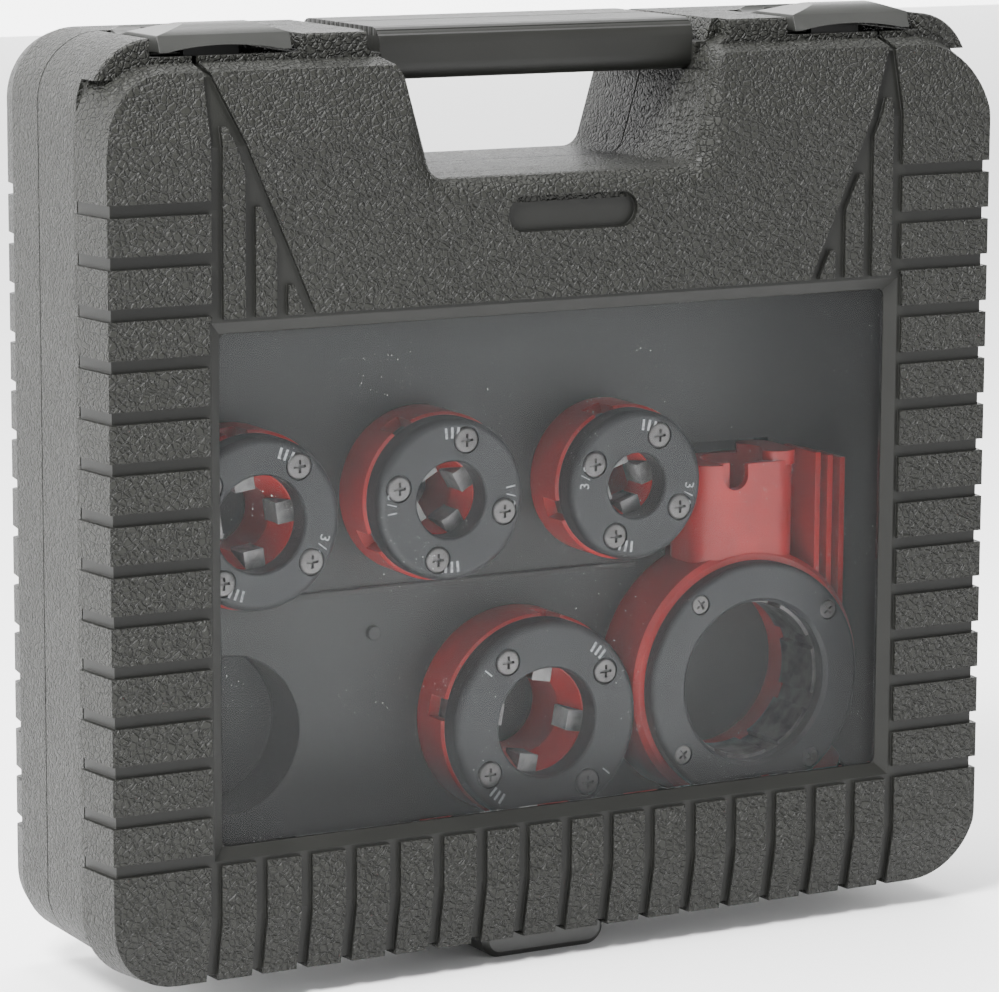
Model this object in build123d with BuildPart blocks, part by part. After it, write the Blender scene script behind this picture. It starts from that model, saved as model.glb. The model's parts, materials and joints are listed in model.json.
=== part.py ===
from build123d import *
import os
from math import cos, radians, sin

# Carrying case with a window in its lid, holding a ratchet pipe-threading set.
# X runs to the right, Y from the lid to the back, Z up. The case stands on its hinge:
# the origin is in the middle of its footprint, and all lengths are in millimetres.

# ---------------------------------------------------------------- case outline
rib_pitch = 20.0
rib_gap = 5.0
pad_height = 2.0
case_front = -52.0
case_back = 52.0
bumper_back = -27.0
parting = 14.0
parting_gap = 0.8
wall = 3.3

bumper_half = 207.5
front_half = 204.5
bumper_low, bumper_high = 11.5, 380.0
front_low, front_high = 12.5, 372.5
bumper_radius = 30.0
band_half = 204.5
band_low, band_high = 14.5, 387.5
band_radius = 27.0
groove_half = 202.8
groove_back = -23.5
crown_front = -35.0
back_half = 202.5
back_low, back_high = 16.5, 385.5
back_straight = 40.0
skin = 7.0

top_slope_low = 348.0
top_slope_depth = 6.7
bottom_slope_high = 37.0
bottom_slope_depth = 5.0

# window
window_low = 62.0
window_half = 160.0
window_height = 215.5
window_bevel = 4.8
window_mid = window_low + window_height / 2
pane_front = -46.7
pane_flange = 8.0
pane_flange_thick = 2.0
pane_gap = 0.3

# hand opening and handle
hand_low, hand_high = 329.0, 366.5
hand_half_low, hand_half_high = 60.5, 71.5
handle_half = 73.0
handle_top = 388.0
handle_front = -24.0
handle_back = 46.0
shoulder_high = 380.5
shoulder_flare = 9.0

# latches
latch_x = 145.5
latch_half = 28.5
latch_front, latch_back = -34.5, 11.5
latch_low, latch_side_top, latch_top = 381.7, 388.2, 392.5
latch_flat_half = 13.5
latch_skin = 2.4
latch_neck_half = 16.3
latch_notch_half = 33.0
latch_notch_front = -36.0
latch_notch_floor = 376.5
latch_lip = 380.2
latch_well_half = 17.0
latch_well_back = 28.0
latch_axis_y, latch_axis_z = 20.0, 383.0
latch_barrel_r = 5.6
trunnion_r = 2.2
trunnion_reach = 4.0
running = 0.05

# hinge under the case
hinge_half = 29.0
hinge_front = -34.0
hinge_back = 50.0
hinge_axis_z = 6.0
knuckle_r = 6.0
knuckle_clear = 6.4
knuckle_count = 5
pin_r = 1.6

# tray
tray_front = 15.0
tray_skin = 2.0

# die heads: name, x, z, cover radius, throat radius, pipe radius, turn in degrees
die_heads = (
    ("three_quarter", -124.0, 190.0, 35.8, 20.0, 13.45, 8.0),
    ("half", -37.0, 193.0, 34.0, 16.0, 10.65, 30.0),
    ("three_eighth", 51.5, 192.0, 31.9, 13.8, 8.6, 18.0),
    ("one_inch", 9.0, 94.5, 43.4, 23.3, 16.85, -10.0),
)
die_front = -19.3
cover_thick = 11.0
die_length = 34.0
chaser_width = 9.0
chaser_depth = 12.0
spigot_wall = 8.0
spigot_length = 11.0
spare_pocket = (-124.0, 96.0, 33.7)

# ratchet head
ratchet_x, ratchet_z = 111.0, 102.0
ratchet_front = -21.0
ratchet_cover_back = -14.0
ratchet_back = 26.0
ratchet_r = 56.5
ratchet_cover_r = 52.0
ratchet_bore_r = 35.0
wheel_r = 40.5
wheel_seat_r = 40.9
wheel_teeth = 24
neck_half = 25.0
neck_x = 112.0
neck_front, neck_back = -13.5, 20.0
neck_top = 196.0
socket_r = 13.7
pawl_angle = -45.0
pawl_y = -1.0
pawl_r = 5.0

# handle of the ratchet, stowed above the window
bar_r = 13.45
bar_y, bar_z = 8.0, 296.0
bar_half = 188.0
grip_r = 16.0
grip_length = 118.0

os.makedirs("parts", exist_ok=True)


def facing(y):
    """Plane seen from the front at depth y: local x is X and local y is Z."""
    return Plane.XZ.offset(-y)


def write(piece, name):
    """Label a finished piece and write it as a STEP file."""
    piece.part.label = name
    export_step(piece.part, "parts/" + name + ".step")


def rounded_panel(half, low, high, radius):
    """Rounded rectangle of a front view, from low to high and half each way."""
    with BuildSketch(mode=Mode.PRIVATE) as panel:
        with Locations((0, (low + high) / 2)):
            RectangleRounded(2 * half, high - low, radius)
    return panel.sketch


def slab(x0, x1, y0, y1, z0, z1):
    """Plain block between two corners."""
    with BuildPart(mode=Mode.PRIVATE) as block:
        with Locations(((x0 + x1) / 2, (y0 + y1) / 2, (z0 + z1) / 2)):
            Box(x1 - x0, y1 - y0, z1 - z0)
    return block.part


def bumper_form(inset):
    """Front bumper of the lid with its faces moved in by inset."""
    with BuildPart(mode=Mode.PRIVATE) as form:
        with BuildSketch(facing(case_front + inset)):
            add(rounded_panel(front_half - inset, front_low + inset, front_high - inset, bumper_radius - inset))
        with BuildSketch(facing(bumper_back)):
            add(rounded_panel(bumper_half - inset, bumper_low + inset, bumper_high - inset, bumper_radius - inset))
        loft(ruled=True)
        with BuildSketch(Plane.YZ) as slopes:
            with BuildLine():
                Polyline(
                    (case_front - 5 + inset, top_slope_low - 19 - inset),
                    (case_front + inset, top_slope_low - inset),
                    (case_front + inset + top_slope_depth, front_high + 0.5 - inset),
                    (case_front + inset + 2 * top_slope_depth, front_high + 27 - inset),
                    (case_front - 5 + inset, front_high + 27 - inset),
                    close=True,
                )
            make_face()
            with BuildLine():
                Polyline(
                    (case_front - 5 + inset, bottom_slope_high + 24 + inset),
                    (case_front + inset, bottom_slope_high + inset),
                    (case_front + inset + bottom_slope_depth, bumper_low + 1 + inset),
                    (case_front + inset + 2 * bottom_slope_depth, bumper_low - 23 + inset),
                    (case_front - 5 + inset, bumper_low - 23 + inset),
                    close=True,
                )
            make_face()
        extrude(amount=bumper_half + 5, both=True, mode=Mode.SUBTRACT)
    return form.part


def back_form(inset):
    """Rear half of the case, straight and then tapering, moved in by inset."""
    front = parting + parting_gap / 2
    with BuildPart(mode=Mode.PRIVATE) as form:
        with BuildSketch(facing(front)):
            add(rounded_panel(band_half - inset, band_low + inset, band_high - inset, band_radius - inset))
        extrude(amount=front - back_straight)
        with BuildSketch(facing(back_straight)):
            add(rounded_panel(band_half - inset, band_low + inset, band_high - inset, band_radius - inset))
        with BuildSketch(facing(case_back - inset)):
            add(rounded_panel(back_half - inset, back_low + inset, back_high - inset, band_radius - inset))
        loft(ruled=True)
    return form.part


def rib_gaps(y0, y1):
    """Gaps between the ribs that frame the case, between two depths."""
    with BuildPart(mode=Mode.PRIVATE) as gaps:
        with BuildSketch(facing(y0)):
            for k in range(14):
                z = window_low + 13 * rib_pitch + 1.0 - k * rib_pitch
                for side in (-1, 1):
                    with Locations((side * (window_half + 30), z)):
                        Rectangle(60, rib_gap)
            for k in range(17):
                with Locations(((k - 8) * rib_pitch, window_low / 2 - 1)):
                    Rectangle(rib_gap, window_low)
        extrude(amount=y0 - y1)
    return gaps.part


def corner_recess(side, y0, y1):
    """Smooth triangular recess beside the window's top, with its three fins left standing."""
    outer, inner = window_half + 0.5, 114.5
    low, high = window_low + window_height, 375.0
    lean = (outer - 3 - inner) / (high - low)
    with BuildPart(mode=Mode.PRIVATE) as recess:
        with BuildSketch(facing(y0)):
            with BuildLine():
                Polyline(
                    (side * outer, low),
                    (side * outer, bumper_high + 5),
                    (side * (outer - 3), bumper_high + 5),
                    (side * (outer - 3), high),
                    (side * inner, low),
                    close=True,
                )
            make_face()
            for k in range(3):
                x = 155.4 - 14.0 * k
                tip = 353.7 - 31.4 * k
                width = 9.5 - 0.5 * k
                run = min(width - 2.5, 0.9 * (tip - low) * lean)
                with BuildLine():
                    Polyline(
                        (side * x, low),
                        (side * x, tip),
                        (side * (x - 2.5), tip),
                        (side * (x - 2.5 - run), tip - run / lean),
                        (side * (x - 2.5 - run), low),
                        close=True,
                    )
                make_face(mode=Mode.SUBTRACT)
        extrude(amount=y0 - y1)
    return recess.part


def hand_section(y, spread):
    """Outline of the hand opening at depth y, widened by spread and open at the top."""
    lean = (hand_half_high - hand_half_low) / (hand_high - hand_low)
    shoulder = hand_half_high + 2.5 * lean + spread
    with BuildSketch(facing(y)) as section:
        with BuildLine():
            Polyline(
                (shoulder, hand_high + 2.5),
                (hand_half_low + spread * (1 + lean), hand_low - spread),
                (-hand_half_low - spread * (1 + lean), hand_low - spread),
                (-shoulder, hand_high + 2.5),
            )
            ThreePointArc(
                (-shoulder, hand_high + 2.5),
                (-shoulder - 4.0, hand_high + 8.5),
                (-shoulder - 12.0, shoulder_high),
            )
            Polyline(
                (-shoulder - 12.0, shoulder_high),
                (-shoulder - 12.0, latch_top),
                (shoulder + 12.0, latch_top),
                (shoulder + 12.0, shoulder_high),
            )
            ThreePointArc(
                (shoulder + 12.0, shoulder_high),
                (shoulder + 4.0, hand_high + 8.5),
                (shoulder, hand_high + 2.5),
            )
        make_face()
        fillet(section.vertices().group_by(Axis.Y)[0], 8 + spread)
    return section.sketch


def hand_opening():
    """Opening for the fingers through the whole case, under the handle."""
    with BuildPart(mode=Mode.PRIVATE) as opening:
        add(hand_section(case_front - 1, 0))
        extrude(amount=-(case_back - case_front + 2), dir=(0, -1, 0))
        add(slab(-200, 200, case_front - 2, case_back + 2, hand_high, latch_top + 5), mode=Mode.SUBTRACT)
    return opening.part


def front_notch():
    """Opening in the bumper in front of the handle, rounded off at the lid's face in steps along an arc."""
    steps = 5
    with BuildPart(mode=Mode.PRIVATE) as notch:
        for k in range(steps + 1):
            angle = radians(90 * k / steps)
            depth = case_front - 0.01 + shoulder_flare * (1 - cos(angle))
            add(hand_section(depth, shoulder_flare * (1 - sin(angle)) + 0.05))
        loft(ruled=True)
        add(hand_section(case_front + shoulder_flare - 0.1, 0.05))
        extrude(amount=handle_front - 1.5 - case_front - shoulder_flare, dir=(0, 1, 0))
    return notch.part


def handle_bar(y0, y1, front_round, back_round):
    """Half of the carrying handle between two depths."""
    with BuildPart(mode=Mode.PRIVATE) as bar:
        with BuildSketch(Plane.YZ) as section:
            with Locations(((y0 + y1) / 2, (hand_high + handle_top) / 2)):
                Rectangle(y1 - y0, handle_top - hand_high)
            fillet(section.vertices().group_by(Axis.X)[0], front_round)
            fillet(section.vertices().group_by(Axis.X)[-1], back_round)
        extrude(amount=handle_half, both=True)
    return bar.part


def handle_pockets(y0, y1):
    """Small pockets beside the ends of the handle, slanting outwards."""
    with BuildPart(mode=Mode.PRIVATE) as pockets:
        with BuildSketch(facing(y0)):
            for s in (-1, 1):
                with BuildLine():
                    Polyline(
                        (s * handle_half, 378.0),
                        (s * (handle_half + 5), 378.0),
                        (s * (handle_half + 12), latch_top + 5),
                        (s * handle_half, latch_top + 5),
                        close=True,
                    )
                make_face()
        extrude(amount=y0 - y1)
    return pockets.part


def lid_notches():
    """Gaps in the lid's crown that the latches cover, with a lip along the front."""
    blocks = []
    for s in (-1, 1):
        x0, x1 = s * latch_x - latch_notch_half, s * latch_x + latch_notch_half
        blocks.append(slab(x0, x1, latch_notch_front, parting, latch_lip, latch_top + 5))
        blocks.append(slab(x0 + 3, x1 - 3, latch_notch_front + 4, parting, latch_notch_floor, latch_top + 5))
    return Part() + blocks


def back_wells():
    """Wells in the rear half that the barrels of the latches turn in."""
    return Part() + [
        slab(
            s * latch_x - latch_well_half,
            s * latch_x + latch_well_half,
            parting - 1,
            latch_well_back,
            latch_notch_floor,
            latch_top + 5,
        )
        for s in (-1, 1)
    ]


def cavity_keepouts(y0, y1):
    """Solid stretches left in the hollow halves around the hand opening and under the latches."""
    blocks = [slab(-92.0, 92.0, y0, y1, hand_low - 4, latch_top)]
    blocks.append(slab(-band_half, band_half, y0, y1, latch_notch_floor - 5, latch_top))
    return Part() + blocks


# ---------------------------------------------------------------- lid
lid_back = parting - parting_gap / 2
lid_gaps = rib_gaps(case_front - 1, bumper_back + 1) - bumper_form(pad_height)
lid_recesses = corner_recess(-1, case_front - 1, bumper_back) + corner_recess(1, case_front - 1, bumper_back)
lid_recesses = lid_recesses - bumper_form(pad_height)
lid_cavity_front = bumper_form(skin)
lid_keepouts = cavity_keepouts(case_front, lid_back + 1)

with BuildPart() as lid_cavity:
    add(lid_cavity_front)
    with BuildSketch(facing(bumper_back)):
        add(rounded_panel(band_half - wall, band_low + skin, band_high - skin, band_radius - wall))
    extrude(amount=-(lid_back + 1 - bumper_back))
    add(lid_keepouts, mode=Mode.SUBTRACT)

with BuildPart() as crown:
    with BuildSketch(facing(crown_front)):
        add(rounded_panel(band_half, band_low, band_high, band_radius))
    extrude(amount=-(groove_back - crown_front))
    add(slab(-300, 300, -100, 100, 0, 372), mode=Mode.SUBTRACT)
    chamfer(crown.faces().sort_by(Axis.Y)[0].edges().group_by(Axis.Z)[-1], 0.8)

with BuildPart() as lid_shell:
    add(bumper_form(0))
    with BuildSketch(facing(bumper_back)):
        add(rounded_panel(groove_half, band_low + 1.7, band_high - 1.7, band_radius - 2))
    extrude(amount=-(groove_back - bumper_back))
    with BuildSketch(facing(groove_back)):
        add(rounded_panel(band_half, band_low, band_high, band_radius))
    extrude(amount=-(lid_back - groove_back))
    add(crown.part)
    add(lid_gaps, mode=Mode.SUBTRACT)
    add(lid_recesses, mode=Mode.SUBTRACT)
    add(lid_cavity.part, mode=Mode.SUBTRACT)
    with BuildSketch(facing(case_front + pad_height)):
        with Locations((0, window_mid)):
            Rectangle(2 * window_half + 3, window_height + 3)
    extrude(amount=5, mode=Mode.SUBTRACT)
    with BuildSketch(facing(case_front + pad_height)):
        with Locations((0, window_mid)):
            Rectangle(2 * window_half, window_height)
    with BuildSketch(facing(pane_front)):
        with Locations((0, window_mid)):
            Rectangle(2 * (window_half - window_bevel), window_height - 2 * window_bevel)
    loft(ruled=True, mode=Mode.SUBTRACT)
    with BuildSketch(facing(pane_front)):
        with Locations((0, window_mid)):
            RectangleRounded(2 * (window_half - window_bevel), window_height - 2 * window_bevel, 3)
    extrude(amount=-10, mode=Mode.SUBTRACT)
    with BuildSketch(facing(case_front)):
        with Locations((1, 313.5)):
            RectangleRounded(60, 14.5, 7.2)
    extrude(amount=-3, mode=Mode.SUBTRACT)
    add(hand_opening(), mode=Mode.SUBTRACT)
    add(front_notch(), mode=Mode.SUBTRACT)
    add(handle_pockets(handle_front - 12, lid_back + 1), mode=Mode.SUBTRACT)
    add(slab(-handle_half, handle_half, handle_front - 12, lid_back + 1, hand_high, latch_top), mode=Mode.SUBTRACT)
    add(lid_notches(), mode=Mode.SUBTRACT)
    add(handle_bar(handle_front, lid_back, 7, 1))
write(lid_shell, "lid_shell")

with BuildPart() as window_pane:
    with BuildSketch(facing(case_front + skin)):
        with Locations((0, window_mid)):
            RectangleRounded(
                2 * (window_half - window_bevel) + 2 * pane_flange,
                window_height - 2 * window_bevel + 2 * pane_flange,
                5,
            )
    extrude(amount=-pane_flange_thick)
    with BuildSketch(facing(case_front + skin)):
        with Locations((0, window_mid)):
            RectangleRounded(
                2 * (window_half - window_bevel - pane_gap),
                window_height - 2 * window_bevel - 2 * pane_gap,
                3,
            )
    extrude(amount=case_front + skin - pane_front)
write(window_pane, "window_pane")

# ---------------------------------------------------------------- rear half
back_front = parting + parting_gap / 2
back_gaps = rib_gaps(back_straight, case_back + 1) - back_form(pad_height)
with BuildPart() as back_cavity:
    add(back_form(wall))
    add(slab(-band_half, band_half, back_front - 1, back_front + 0.01, 0, 30), mode=Mode.SUBTRACT)
    add(cavity_keepouts(back_front - 1, case_back), mode=Mode.SUBTRACT)

with BuildPart() as rear_shell:
    add(back_form(0))
    fillet(rear_shell.faces().sort_by(Axis.Y)[-1].edges(), 4)
    add(back_gaps, mode=Mode.SUBTRACT)
    with BuildSketch(facing(case_back)):
        with Locations((0, window_mid)):
            RectangleRounded(2 * window_half - 6, window_height - 6, 6)
    extrude(amount=1.5, mode=Mode.SUBTRACT)
    add(back_cavity.part, mode=Mode.SUBTRACT)
    add(hand_opening(), mode=Mode.SUBTRACT)
    add(handle_pockets(back_front - 1, handle_back + 1), mode=Mode.SUBTRACT)
    add(slab(-handle_half, handle_half, back_front - 1, case_back + 1, hand_high, latch_top), mode=Mode.SUBTRACT)
    add(slab(-handle_half - 12, handle_half + 12, handle_back + 1, case_back + 1, 374, latch_top), mode=Mode.SUBTRACT)
    add(back_wells(), mode=Mode.SUBTRACT)
    for s in (-1, 1):
        with Locations(Plane((s * latch_x, latch_axis_y, latch_axis_z), z_dir=(1, 0, 0))):
            Cylinder(trunnion_r + running, 2 * (latch_well_half + trunnion_reach + 0.6), mode=Mode.SUBTRACT)
    add(handle_bar(back_front, handle_back, 1, 7))
write(rear_shell, "rear_shell")

# ---------------------------------------------------------------- latches
def latch_cap(inset, low, back):
    """Arched cap of a latch in the middle of the case, moved in by inset and cut off at low and back."""
    with BuildPart(mode=Mode.PRIVATE) as cap:
        with BuildSketch(Plane.YZ):
            with BuildLine():
                Polyline(
                    (back, low),
                    (latch_front + inset, low),
                    (latch_front + 2.5 + inset, latch_side_top - inset),
                )
                Spline(
                    (latch_front + 2.5 + inset, latch_side_top - inset),
                    (latch_front + 7 + inset, latch_top - 0.8 - inset),
                    (latch_front + 14 + inset, latch_top - inset),
                    (back, latch_axis_z + latch_barrel_r + 1.0 - inset),
                )
                Line((back, latch_axis_z + latch_barrel_r + 1.0 - inset), (back, low))
            make_face()
        extrude(amount=latch_half - inset, both=True)
        with BuildSketch(Plane.XZ):
            with BuildLine():
                Polyline(
                    (-latch_half + inset, low - 1),
                    (-latch_half + inset, latch_side_top - inset),
                    (-latch_flat_half, latch_top + 0.1 - inset),
                    (latch_flat_half, latch_top + 0.1 - inset),
                    (latch_half - inset, latch_side_top - inset),
                    (latch_half - inset, low - 1),
                    close=True,
                )
            make_face()
        extrude(amount=60, both=True, mode=Mode.INTERSECT)
    return cap.part


for side, name in ((-1, "latch_left"), (1, "latch_right")):
    with BuildPart() as latch:
        with Locations((side * latch_x, 0, 0)):
            add(latch_cap(0, latch_low, latch_back))
            add(latch_cap(latch_skin, latch_low - 5, latch_back - latch_skin), mode=Mode.SUBTRACT)
        with BuildSketch(facing(latch_front - 1)):
            with BuildLine():
                ThreePointArc(
                    (side * latch_x - latch_half + 3, latch_low - 0.1),
                    (side * latch_x, latch_low + 2.4),
                    (side * latch_x + latch_half - 3, latch_low - 0.1),
                )
                Line(
                    (side * latch_x + latch_half - 3, latch_low - 0.1),
                    (side * latch_x - latch_half + 3, latch_low - 0.1),
                )
            make_face()
        extrude(amount=-12, mode=Mode.SUBTRACT)
        with Locations((side * latch_x, (latch_back + latch_axis_y) / 2 - 0.5, latch_axis_z + latch_barrel_r / 2)):
            Box(2 * latch_neck_half, latch_axis_y - latch_back + 3, latch_barrel_r)
        with Locations((side * latch_x, -19.0, (latch_notch_floor + latch_top + 1.5) / 2)):
            Box(24, 3, latch_top - latch_notch_floor - 3.5)
        with Locations(Plane((side * latch_x, latch_axis_y, latch_axis_z), z_dir=(1, 0, 0))):
            Cylinder(latch_barrel_r, 2 * latch_neck_half)
            Cylinder(trunnion_r, 2 * (latch_well_half + trunnion_reach))
    write(latch, name)

# ---------------------------------------------------------------- hinge
knuckle_width = 2 * hinge_half / knuckle_count
hinge_axis = Plane((0, parting, hinge_axis_z), z_dir=(1, 0, 0))


def hinge_leaf(y0, y1, owned, name, host):
    """Half of the hinge block between two depths, with the knuckles it owns round the pin."""
    reach = parting
    sign = 1 if y1 <= parting else -1
    with BuildPart() as leaf:
        with BuildSketch(facing(y0)) as face:
            with Locations((0, 12)):
                Rectangle(2 * hinge_half, 24)
            fillet(face.vertices().group_by(Axis.Y)[0], 8)
        extrude(amount=-(y1 - y0))
        free_end = leaf.faces().sort_by(Axis.Y)[0 if sign > 0 else -1]
        chamfer(free_end.edges().group_by(Axis.Z)[0], 2.5)
        with BuildSketch(Plane.YZ):
            with BuildLine():
                Polyline(
                    (reach - sign * 11, -1),
                    (reach - sign * 5, 5),
                    (reach + sign * 5, 5),
                    (reach + sign * 5, -1),
                    close=True,
                )
            make_face()
        extrude(amount=hinge_half + 1, both=True, mode=Mode.SUBTRACT)
        with Locations(hinge_axis):
            Cylinder(knuckle_clear, 2 * hinge_half + 2, mode=Mode.SUBTRACT)
        for k in owned:
            x0 = -hinge_half + k * knuckle_width + (0.2 if k else 0)
            x1 = -hinge_half + (k + 1) * knuckle_width - (0.2 if k < knuckle_count - 1 else 0)
            with Locations(Plane(((x0 + x1) / 2, parting, hinge_axis_z), z_dir=(1, 0, 0))):
                Cylinder(knuckle_r, x1 - x0)
            with Locations(((x0 + x1) / 2, reach - sign * 4.5, hinge_axis_z + 3.0)):
                Box(x1 - x0, 9, 6)
        for k in range(knuckle_count):
            if k not in owned:
                x0 = -hinge_half + k * knuckle_width - 0.1
                x1 = x0 + knuckle_width + 0.2
                with Locations(((x0 + x1) / 2, reach, hinge_axis_z + 5)):
                    Box(x1 - x0, 2 * knuckle_clear, 10, mode=Mode.SUBTRACT)
        with Locations(hinge_axis):
            Cylinder(pin_r + running, 2 * hinge_half + 2, mode=Mode.SUBTRACT)
        add(host, mode=Mode.SUBTRACT)
        add(slab(-hinge_half - 1, hinge_half + 1, y0 - 1, y1 + 20, 16.0, 40.0), mode=Mode.SUBTRACT)
    write(leaf, name)


hinge_leaf(hinge_front, lid_back, (1, 3), "hinge_leaf_lid", lid_shell.part)
hinge_leaf(back_front, hinge_back, (0, 2, 4), "hinge_leaf_rear", rear_shell.part)

with BuildPart() as hinge_pin:
    with Locations(hinge_axis):
        Cylinder(pin_r, 2 * hinge_half - 1)
    chamfer(hinge_pin.edges(), 0.3)
write(hinge_pin, "hinge_pin")

# ---------------------------------------------------------------- tray
tray_half = band_half - wall


def tray_forms(grow, depth_extra):
    """Pockets of the tray as solids behind its sheet, widened by grow and deepened by depth_extra."""
    with BuildPart(mode=Mode.PRIVATE) as forms:
        for _, x, z, _, _, pipe, _ in die_heads:
            with BuildSketch(facing(tray_front)):
                with Locations((x, z)):
                    Circle(pipe + spigot_wall + 0.5 + grow)
            extrude(amount=-(spigot_length + 1.2 + depth_extra))
        with BuildSketch(facing(tray_front)):
            with Locations((spare_pocket[0], spare_pocket[1])):
                Circle(spare_pocket[2] + grow)
        extrude(amount=-(26 + depth_extra))
        with BuildSketch(facing(tray_front)):
            with Locations((ratchet_x, ratchet_z)):
                Circle(ratchet_r + 0.8 + grow)
            with Locations((neck_x, (ratchet_z + neck_top + 5.5) / 2)):
                Rectangle(2 * (neck_half + 0.8 + grow), neck_top - ratchet_z + 5.5 + 2 * grow)
        extrude(amount=-(ratchet_back - tray_front + 0.6 + depth_extra))
        with Locations(Plane((0, bar_y, bar_z), z_dir=(1, 0, 0))):
            Cylinder(grip_r + 0.8 + grow, 2 * bar_half + 6 + 2 * grow)
        with Locations((0, tray_front - 30, bar_z)):
            Box(500, 60, 60, mode=Mode.SUBTRACT)
    return forms.part


tray_outside = tray_forms(tray_skin, tray_skin)
tray_inside = tray_forms(0, 0)
with BuildPart() as tray:
    with BuildSketch(facing(tray_front)):
        add(rounded_panel(tray_half, band_low + wall, band_high - wall, band_radius - wall))
    extrude(amount=-tray_skin)
    add(cavity_keepouts(tray_front - 1, tray_front + 10), mode=Mode.SUBTRACT)
    add(tray_outside)
    with BuildSketch(facing(tray_front + 0.5)):
        with Locations((-60, 151.5)):
            Rectangle(260, 2.5)
        with Locations((-56, 133)):
            Circle(3)
    extrude(amount=2.5)
    add(tray_inside, mode=Mode.SUBTRACT)
write(tray, "tool_tray")

# ---------------------------------------------------------------- die heads
for name, x, z, cover_r, throat_r, pipe_r, turn in die_heads:
    body_r = cover_r + 1.2
    body_front = die_front + cover_thick
    body_back = die_front + die_length
    screw_circle = (cover_r + throat_r) / 2 + 0.4
    screw_turns = [turn + 45 + 90 * k for k in range(4)]
    chaser_turns = [turn + 90 * k for k in range(4)]
    screw_at = [(x + screw_circle * cos(radians(a)), z + screw_circle * sin(radians(a))) for a in screw_turns]

    with BuildPart() as die_body:
        with BuildSketch(facing(body_front)):
            with Locations((x, z)):
                Circle(body_r)
        extrude(amount=-(body_back - body_front))
        chamfer(die_body.edges().filter_by(GeomType.CIRCLE), 1.0)
        with BuildSketch(facing(body_back)):
            with Locations((x, z)):
                Circle(pipe_r + spigot_wall)
        extrude(amount=-spigot_length)
        with Locations(Plane((x, body_front + 6, z), z_dir=(0, 1, 0))):
            Cone(throat_r - 0.5, pipe_r + 1.0, chaser_depth, mode=Mode.SUBTRACT)
        with Locations(Plane((x, body_back, z), z_dir=(0, 1, 0))):
            Cylinder(pipe_r + 1.0, 80, mode=Mode.SUBTRACT)
        for a in chaser_turns:
            turned = Plane((x, body_front, z), x_dir=(cos(radians(a)), 0, sin(radians(a))), z_dir=(0, -1, 0))
            with BuildSketch(turned):
                with Locations((body_r / 2 + 1, 0)):
                    Rectangle(body_r + 2, chaser_width + 0.2)
            extrude(amount=-(chaser_depth + 0.1), mode=Mode.SUBTRACT)
        with BuildSketch(facing(body_front)):
            with Locations(*screw_at):
                Circle(2.1)
        extrude(amount=-12, mode=Mode.SUBTRACT)
    write(die_body, "die_body_" + name)

    with BuildPart() as die_cover:
        with BuildSketch(facing(die_front)):
            with Locations((x, z)):
                Circle(cover_r)
        extrude(amount=-cover_thick)
        fillet(die_cover.faces().sort_by(Axis.Y)[0].edges(), 3.5)
        with BuildSketch(facing(die_front)):
            with Locations((x, z)):
                Circle(throat_r)
            with Locations(*screw_at):
                Circle(2.6)
        extrude(amount=-cover_thick, mode=Mode.SUBTRACT)
        with BuildSketch(facing(die_front)):
            with Locations(*screw_at):
                Circle(5.9)
        extrude(amount=-1.6, mode=Mode.SUBTRACT)
        rim = die_cover.faces().sort_by(Axis.Y)[0].edges().filter_by(GeomType.CIRCLE)
        chamfer(rim.filter_by(lambda e: abs(e.radius - throat_r) < 0.1), 0.8)
    write(die_cover, "die_cover_" + name)

    with BuildPart() as chasers:
        for a in chaser_turns:
            turned = Plane((x, body_front + 0.05, z), x_dir=(cos(radians(a)), 0, sin(radians(a))), z_dir=(0, -1, 0))
            with BuildSketch(turned):
                with Locations(((body_r - 5 + pipe_r - 1.2) / 2, 0)):
                    Rectangle(body_r - 5 - pipe_r + 1.2, chaser_width)
            extrude(amount=-chaser_depth + 0.1)
            across = (-sin(radians(a)), 0, cos(radians(a)))
            along = Plane((x, body_front, z), x_dir=(cos(radians(a)), 0, sin(radians(a))), z_dir=across)
            with BuildSketch(along):
                for k in range(6):
                    with Locations((pipe_r - 1.2, 1.2 + 1.9 * k)):
                        Rectangle(1.7, 1.7, rotation=45)
            extrude(amount=chaser_width, both=True, mode=Mode.SUBTRACT)
    write(chasers, "chasers_" + name)

    with BuildPart() as die_screws:
        with BuildSketch(facing(die_front + 1.6)):
            with Locations(*screw_at):
                Circle(5.4)
        extrude(amount=2.2)
        fillet(die_screws.faces().group_by(Axis.Y)[0].edges(), 1.2)
        with BuildSketch(facing(die_front + 1.6)):
            with Locations(*screw_at):
                Circle(2.0)
        extrude(amount=-16)
        with BuildSketch(facing(die_front - 1)):
            with Locations(*screw_at):
                Rectangle(5.4, 1.2)
                Rectangle(1.2, 5.4)
        extrude(amount=-2.2, mode=Mode.SUBTRACT)
    write(die_screws, "die_screws_" + name)

# ---------------------------------------------------------------- ratchet head
pawl_dir = (cos(radians(pawl_angle)), 0, sin(radians(pawl_angle)))


def on_pawl_line(distance):
    """Plane across the pawl's line at a distance from the centre of the ratchet."""
    return Plane(
        (ratchet_x + distance * pawl_dir[0], pawl_y, ratchet_z + distance * pawl_dir[2]), z_dir=pawl_dir
    )


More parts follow.
